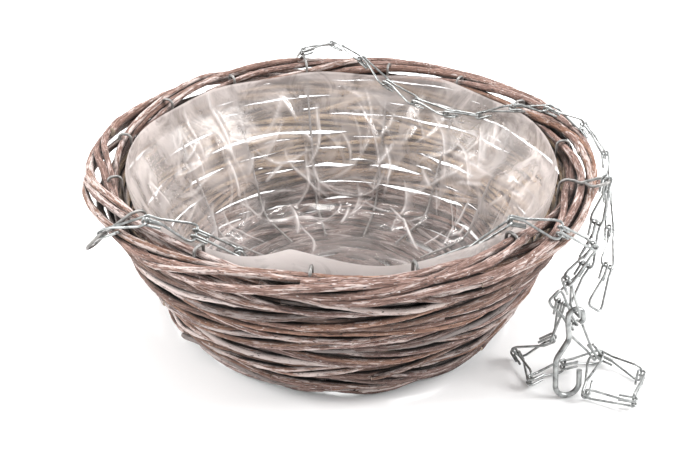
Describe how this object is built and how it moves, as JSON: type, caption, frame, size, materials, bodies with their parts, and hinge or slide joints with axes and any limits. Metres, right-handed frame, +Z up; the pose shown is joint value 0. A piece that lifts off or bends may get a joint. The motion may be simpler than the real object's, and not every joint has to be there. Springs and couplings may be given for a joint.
{
  "type": "hanging basket",
  "caption": "Woven willow hanging basket with a twisted-rod rim, wire stakes, clear film liner, three wire chains and a top hook; the chains lift from a slack heap to the hanging pose.",
  "frame": {"origin": "middle of the base's underside, where the basket stands", "axes": "+Z up along the basket's axis; +Y toward the back eye; the hook lies at the front right"},
  "size_m": [0.3764, 0.3585, 0.1426],
  "materials": {
    "willow_base": "rough unpeeled willow rods with a thin whitewash",
    "willow_weave": "rough unpeeled willow rods with a thin whitewash",
    "willow_rim": "rough willow rods, whitewash worn through to brown and orange bark",
    "liner_film": "clear crinkled plastic film",
    "stake_wire": "dull galvanised wire",
    "chain_wire": "bright galvanised wire",
    "hook_wire": "bright galvanised wire"
  },
  "bodies": {
    "basket": {"base": "willow_base", "weave_row_1": "willow_weave", "weave_row_2": "willow_weave", "weave_row_3": "willow_weave", "weave_row_4": "willow_weave", "weave_row_5": "willow_weave", "weave_row_6": "willow_weave", "weave_row_7": "willow_weave", "weave_row_8": "willow_weave", "weave_row_9": "willow_weave", "rim_rod_1": "willow_rim", "rim_rod_2": "willow_rim", "rim_rod_3": "willow_rim", "rim_rod_4": "willow_rim", "liner": "liner_film", "wire_stakes": "stake_wire", "chain_eyes": "stake_wire"},
    "link_a01": {"chain_a_link_01": "chain_wire"},
    "link_a02": {"chain_a_link_02": "chain_wire"},
    "link_a03": {"chain_a_link_03": "chain_wire"},
    "link_a04": {"chain_a_link_04": "chain_wire"},
    "link_a05": {"chain_a_link_05": "chain_wire"},
    "link_a06": {"chain_a_link_06": "chain_wire"},
    "link_a07": {"chain_a_link_07": "chain_wire"},
    "link_a08": {"chain_a_link_08": "chain_wire"},
    "link_a09": {"chain_a_link_09": "chain_wire"},
    "link_a10": {"chain_a_link_10": "chain_wire"},
    "link_a11": {"chain_a_link_11": "chain_wire"},
    "link_a12": {"chain_a_link_12": "chain_wire"},
    "link_a13": {"chain_a_link_13": "chain_wire"},
    "link_a14": {"chain_a_link_14": "chain_wire"},
    "link_b01": {"chain_b_link_01": "chain_wire"},
    "link_b02": {"chain_b_link_02": "chain_wire"},
    "link_b03": {"chain_b_link_03": "chain_wire"},
    "link_b04": {"chain_b_link_04": "chain_wire"},
    "link_b05": {"chain_b_link_05": "chain_wire"},
    "link_b06": {"chain_b_link_06": "chain_wire"},
    "link_b07": {"chain_b_link_07": "chain_wire"},
    "link_b08": {"chain_b_link_08": "chain_wire"},
    "link_b09": {"chain_b_link_09": "chain_wire"},
    "link_b10": {"chain_b_link_10": "chain_wire"},
    "link_b11": {"chain_b_link_11": "chain_wire"},
    "link_b12": {"chain_b_link_12": "chain_wire"},
    "link_b13": {"chain_b_link_13": "chain_wire"},
    "link_b14": {"chain_b_link_14": "chain_wire"},
    "link_c01": {"chain_c_link_01": "chain_wire"},
    "link_c02": {"chain_c_link_02": "chain_wire"},
    "link_c03": {"chain_c_link_03": "chain_wire"},
    "link_c04": {"chain_c_link_04": "chain_wire"},
    "link_c05": {"chain_c_link_05": "chain_wire"},
    "link_c06": {"chain_c_link_06": "chain_wire"},
    "link_c07": {"chain_c_link_07": "chain_wire"},
    "link_c08": {"chain_c_link_08": "chain_wire"},
    "link_c09": {"chain_c_link_09": "chain_wire"},
    "link_c10": {"chain_c_link_10": "chain_wire"},
    "link_c11": {"chain_c_link_11": "chain_wire"},
    "link_c12": {"chain_c_link_12": "chain_wire"},
    "link_c13": {"chain_c_link_13": "chain_wire"},
    "link_c14": {"chain_c_link_14": "chain_wire"},
    "hook": {"hook": "hook_wire"}
  },
  "joints": [
    {"name": "chain_a_lift", "type": "hinge", "parent": "basket", "child": "link_a01", "pos_m": [-0.141, -0.113, 0.123], "axis": [-0.1906, -0.9246, 0.3298], "range_deg": [0, 53.42]},
    {"name": "chain_a_hinge_02", "type": "hinge", "parent": "link_a01", "child": "link_a02", "pos_m": [-0.1134, -0.11504, 0.13322], "axis": [-0.0755, -0.9971, 0.0044], "range_deg": [0, 36.1]},
    {"name": "chain_a_hinge_03", "type": "hinge", "parent": "link_a02", "child": "link_a03", "pos_m": [-0.08511, -0.11722, 0.12518], "axis": [-0.221, -0.7974, -0.5615], "range_deg": [0, 22.63]},
    {"name": "chain_a_hinge_04", "type": "hinge", "parent": "link_a03", "child": "link_a04", "pos_m": [-0.06098, -0.11244, 0.10888], "axis": [0.2229, -0.9739, 0.0439], "range_deg": [0, 31.69]},
    {"name": "chain_a_hinge_05", "type": "hinge", "parent": "link_a04", "child": "link_a05", "pos_m": [-0.04868, -0.11083, 0.08212], "axis": [0.4198, 0.8738, 0.2456], "range_deg": [0, 32.56]},
    {"name": "chain_a_hinge_06", "type": "hinge", "parent": "link_a05", "child": "link_a06", "pos_m": [-0.02551, -0.11714, 0.06499], "axis": [-0.1045, 0.879, -0.4653], "range_deg": [0, 49]},
    {"name": "chain_a_hinge_07", "type": "hinge", "parent": "link_a06", "child": "link_a07", "pos_m": [0.00328, -0.1118, 0.06862], "axis": [-0.203, 0.959, 0.1977], "range_deg": [0, 33.45]},
    {"name": "chain_a_hinge_08", "type": "hinge", "parent": "link_a07", "child": "link_a08", "pos_m": [0.02596, -0.11088, 0.08746], "axis": [-0.1517, -0.9614, 0.2295], "range_deg": [0, 15.73]},
    {"name": "chain_a_hinge_09", "type": "hinge", "parent": "link_a08", "child": "link_a09", "pos_m": [0.05276, -0.11218, 0.09972], "axis": [0.2727, -0.6911, -0.6693], "range_deg": [0, 4.08]},
    {"name": "chain_a_hinge_10", "type": "hinge", "parent": "link_a09", "child": "link_a10", "pos_m": [0.08015, -0.11197, 0.11066], "axis": [-0.0146, 0.9998, 0.0169], "range_deg": [0, 22.42]},
    {"name": "chain_a_hinge_11", "type": "hinge", "parent": "link_a10", "child": "link_a11", "pos_m": [0.10131, -0.11201, 0.13121], "axis": [-0.1838, -0.9649, 0.1874], "range_deg": [0, 51.75]},
    {"name": "chain_a_hinge_12", "type": "hinge", "parent": "link_a11", "child": "link_a12", "pos_m": [0.12998, -0.11811, 0.12791], "axis": [-0.2249, -0.6758, -0.7019], "range_deg": [0, 42.52]},
    {"name": "chain_a_hinge_13", "type": "hinge", "parent": "link_a12", "child": "link_a13", "pos_m": [0.1525, -0.10851, 0.11144], "axis": [0.272, -0.9454, -0.1794], "range_deg": [0, 79.14]},
    {"name": "chain_a_hinge_14", "type": "hinge", "parent": "link_a13", "child": "link_a14", "pos_m": [0.13976, -0.10713, 0.08487], "axis": [-0.1171, 0.9873, 0.1073], "range_deg": [0, 45.5]},
    {"name": "chain_b_hinge_01", "type": "hinge", "parent": "basket", "child": "link_b01", "pos_m": [-0.033, 0.173, 0.128], "axis": [-0.2236, -0.8948, -0.3865], "range_deg": [0, 57.43]},
    {"name": "chain_b_hinge_02", "type": "hinge", "parent": "link_b01", "child": "link_b02", "pos_m": [-0.00795, 0.16198, 0.13902], "axis": [-0.4967, -0.8053, 0.3236], "range_deg": [0, 37.87]},
    {"name": "chain_b_hinge_03", "type": "hinge", "parent": "link_b02", "child": "link_b03", "pos_m": [0.01508, 0.14494, 0.13198], "axis": [-0.533, -0.8148, 0.2279], "range_deg": [0, 14.76]},
    {"name": "chain_b_hinge_04", "type": "hinge", "parent": "link_b03", "child": "link_b04", "pos_m": [0.0349, 0.12809, 0.11807], "axis": [0.4087, 0.8167, -0.4075], "range_deg": [0, 11.45]},
    {"name": "chain_b_hinge_05", "type": "hinge", "parent": "link_b04", "child": "link_b05", "pos_m": [0.05794, 0.11204, 0.10902], "axis": [0.6016, 0.787, 0.1365], "range_deg": [0, 14.15]},
    {"name": "chain_b_hinge_06", "type": "hinge", "parent": "link_b05", "child": "link_b06", "pos_m": [0.08149, 0.09438, 0.10704], "axis": [0.5984, 0.8008, -0.0249], "range_deg": [0, 15.37]},
    {"name": "chain_b_hinge_07", "type": "hinge", "parent": "link_b06", "child": "link_b07", "pos_m": [0.10473, 0.0772, 0.11293], "axis": [0.6141, 0.7191, -0.3253], "range_deg": [0, 14.63]},
    {"name": "chain_b_hinge_08", "type": "hinge", "parent": "link_b07", "child": "link_b08", "pos_m": [0.12756, 0.0634, 0.12552], "axis": [-0.6289, -0.4899, 0.6037], "range_deg": [0, 13.29]},
    {"name": "chain_b_hinge_09", "type": "hinge", "parent": "link_b08", "child": "link_b09", "pos_m": [0.14929, 0.04497, 0.1332], "axis": [-0.6301, -0.7731, -0.0725], "range_deg": [0, 26.53]},
    {"name": "chain_b_hinge_10", "type": "hinge", "parent": "link_b09", "child": "link_b10", "pos_m": [0.17197, 0.02703, 0.12738], "axis": [-0.1055, -0.4248, 0.8991], "range_deg": [0, 27.53]},
    {"name": "chain_b_hinge_11", "type": "hinge", "parent": "link_b10", "child": "link_b11", "pos_m": [0.18348, 0.00198, 0.11689], "axis": [-0.2669, -0.4739, 0.8392], "range_deg": [0, 28.97]},
    {"name": "chain_b_hinge_12", "type": "hinge", "parent": "link_b11", "child": "link_b12", "pos_m": [0.18097, -0.02327, 0.10184], "axis": [-0.267, -0.4752, 0.8384], "range_deg": [0, 2]},
    {"name": "chain_b_hinge_13", "type": "hinge", "parent": "link_b12", "child": "link_b13", "pos_m": [0.17928, -0.04865, 0.08691], "axis": [0.4018, -0.484, 0.7773], "range_deg": [0, 8.58]},
    {"name": "chain_b_hinge_14", "type": "hinge", "parent": "link_b13", "child": "link_b14", "pos_m": [0.17357, -0.07445, 0.07379], "axis": [-0.7766, -0.1406, 0.6141], "range_deg": [0, 16.56]},
    {"name": "chain_c_hinge_01", "type": "hinge", "parent": "basket", "child": "link_c01", "pos_m": [0.169, -0.06, 0.131], "axis": [0.2063, -0.9527, 0.2232], "range_deg": [0, 215.04]},
    {"name": "chain_c_hinge_02", "type": "hinge", "parent": "link_c01", "child": "link_c02", "pos_m": [0.16378, -0.06769, 0.103], "axis": [-0.9383, 0.3358, 0.0829], "range_deg": [0, 4.03]},
    {"name": "chain_c_hinge_03", "type": "hinge", "parent": "link_c02", "child": "link_c03", "pos_m": [0.15918, -0.07348, 0.07444], "axis": [0.6363, -0.7695, 0.0537], "range_deg": [0, 34.66]},
    {"name": "chain_c_hinge_04", "type": "hinge", "parent": "link_c03", "child": "link_c04", "pos_m": [0.14273, -0.08844, 0.05506], "axis": [-0.7272, 0.6802, 0.0924], "range_deg": [0, 47.26]},
    {"name": "chain_c_hinge_05", "type": "hinge", "parent": "link_c04", "child": "link_c05", "pos_m": [0.14023, -0.08712, 0.02569], "axis": [-0.3476, -0.9376, -0.0126], "range_deg": [0, 45.12]},
    {"name": "chain_c_hinge_06", "type": "hinge", "parent": "link_c05", "child": "link_c06", "pos_m": [0.11895, -0.07898, 0.00696], "axis": [0.6842, 0.1416, -0.7154], "range_deg": [0, 114.73]},
    {"name": "chain_c_hinge_07", "type": "hinge", "parent": "link_c06", "child": "link_c07", "pos_m": [0.12497, -0.10786, 0.007], "axis": [0.0009, -0.0013, -1], "range_deg": [0, 110.58]},
    {"name": "chain_c_hinge_08", "type": "hinge", "parent": "link_c07", "child": "link_c08", "pos_m": [0.14989, -0.09207, 0.007], "axis": [0.0359, -0.0567, 0.9977], "range_deg": [0, 12.33]},
    {"name": "chain_c_hinge_09", "type": "hinge", "parent": "link_c08", "child": "link_c09", "pos_m": [0.1776, -0.08195, 0.00658], "axis": [0.0024, 0.0351, 0.9994], "range_deg": [0, 64.56]},
    {"name": "chain_c_hinge_10", "type": "hinge", "parent": "link_c09", "child": "link_c10", "pos_m": [0.19864, -0.10261, 0.00725], "axis": [-0.0238, 0.0085, 0.9997], "range_deg": [0, 69.35]},
    {"name": "chain_c_hinge_11", "type": "hinge", "parent": "link_c10", "child": "link_c11", "pos_m": [0.18673, -0.1296, 0.0072], "axis": [-0.0005, -0.0018, 1], "range_deg": [0, 82.06]},
    {"name": "chain_c_hinge_12", "type": "hinge", "parent": "link_c11", "child": "link_c12", "pos_m": [0.15836, -0.12153, 0.0072], "axis": [-0.1012, -0.356, 0.929], "range_deg": [0, 96.76]},
    {"name": "chain_c_hinge_13", "type": "hinge", "parent": "link_c12", "child": "link_c13", "pos_m": [0.16914, -0.09631, 0.01804], "axis": [-0.6441, 0.5174, -0.5635], "range_deg": [0, 81.14]},
    {"name": "chain_c_hinge_14", "type": "hinge", "parent": "link_c13", "child": "link_c14", "pos_m": [0.15121, -0.09332, 0.04128], "axis": [-0.702, -0.5323, -0.4732], "range_deg": [0, 12.54]},
    {"name": "hook_swing", "type": "hinge", "parent": "link_a14", "child": "hook", "pos_m": [0.14966, -0.10297, 0.05739], "axis": [0.2273, -0.947, 0.2269], "range_deg": [0, 40.85]}
  ],
  "couplings": [
    {"joint": "chain_a_hinge_02", "follows": "chain_a_lift", "ratio": 0.67574},
    {"joint": "chain_a_hinge_03", "follows": "chain_a_lift", "ratio": 0.42358},
    {"joint": "chain_a_hinge_04", "follows": "chain_a_lift", "ratio": 0.59312},
    {"joint": "chain_a_hinge_05", "follows": "chain_a_lift", "ratio": 0.60947},
    {"joint": "chain_a_hinge_06", "follows": "chain_a_lift", "ratio": 0.91735},
    {"joint": "chain_a_hinge_07", "follows": "chain_a_lift", "ratio": 0.62607},
    {"joint": "chain_a_hinge_08", "follows": "chain_a_lift", "ratio": 0.29435},
    {"joint": "chain_a_hinge_09", "follows": "chain_a_lift", "ratio": 0.076367},
    {"joint": "chain_a_hinge_10", "follows": "chain_a_lift", "ratio": 0.41961},
    {"joint": "chain_a_hinge_11", "follows": "chain_a_lift", "ratio": 0.96872},
    {"joint": "chain_a_hinge_12", "follows": "chain_a_lift", "ratio": 0.79595},
    {"joint": "chain_a_hinge_13", "follows": "chain_a_lift", "ratio": 1.4815},
    {"joint": "chain_a_hinge_14", "follows": "chain_a_lift", "ratio": 0.85179},
    {"joint": "chain_b_hinge_01", "follows": "chain_a_lift", "ratio": 1.0751},
    {"joint": "chain_b_hinge_02", "follows": "chain_a_lift", "ratio": 0.70899},
    {"joint": "chain_b_hinge_03", "follows": "chain_a_lift", "ratio": 0.27623},
    {"joint": "chain_b_hinge_04", "follows": "chain_a_lift", "ratio": 0.21428},
    {"joint": "chain_b_hinge_05", "follows": "chain_a_lift", "ratio": 0.26489},
    {"joint": "chain_b_hinge_06", "follows": "chain_a_lift", "ratio": 0.28772},
    {"joint": "chain_b_hinge_07", "follows": "chain_a_lift", "ratio": 0.27389},
    {"joint": "chain_b_hinge_08", "follows": "chain_a_lift", "ratio": 0.24885},
    {"joint": "chain_b_hinge_09", "follows": "chain_a_lift", "ratio": 0.49664},
    {"joint": "chain_b_hinge_10", "follows": "chain_a_lift", "ratio": 0.51539},
    {"joint": "chain_b_hinge_11", "follows": "chain_a_lift", "ratio": 0.54221},
    {"joint": "chain_b_hinge_12", "follows": "chain_a_lift", "ratio": 0.037441},
    {"joint": "chain_b_hinge_13", "follows": "chain_a_lift", "ratio": 0.16068},
    {"joint": "chain_b_hinge_14", "follows": "chain_a_lift", "ratio": 0.30998},
    {"joint": "chain_c_hinge_01", "follows": "chain_a_lift", "ratio": 4.0256},
    {"joint": "chain_c_hinge_02", "follows": "chain_a_lift", "ratio": 0.075483},
    {"joint": "chain_c_hinge_03", "follows": "chain_a_lift", "ratio": 0.64873},
    {"joint": "chain_c_hinge_04", "follows": "chain_a_lift", "ratio": 0.88476},
    {"joint": "chain_c_hinge_05", "follows": "chain_a_lift", "ratio": 0.84454},
    {"joint": "chain_c_hinge_06", "follows": "chain_a_lift", "ratio": 2.1478},
    {"joint": "chain_c_hinge_07", "follows": "chain_a_lift", "ratio": 2.0702},
    {"joint": "chain_c_hinge_08", "follows": "chain_a_lift", "ratio": 0.2308},
    {"joint": "chain_c_hinge_09", "follows": "chain_a_lift", "ratio": 1.2086},
    {"joint": "chain_c_hinge_10", "follows": "chain_a_lift", "ratio": 1.2983},
    {"joint": "chain_c_hinge_11", "follows": "chain_a_lift", "ratio": 1.5362},
    {"joint": "chain_c_hinge_12", "follows": "chain_a_lift", "ratio": 1.8113},
    {"joint": "chain_c_hinge_13", "follows": "chain_a_lift", "ratio": 1.519},
    {"joint": "chain_c_hinge_14", "follows": "chain_a_lift", "ratio": 0.23479},
    {"joint": "hook_swing", "follows": "chain_a_lift", "ratio": 0.76465}
  ]
}
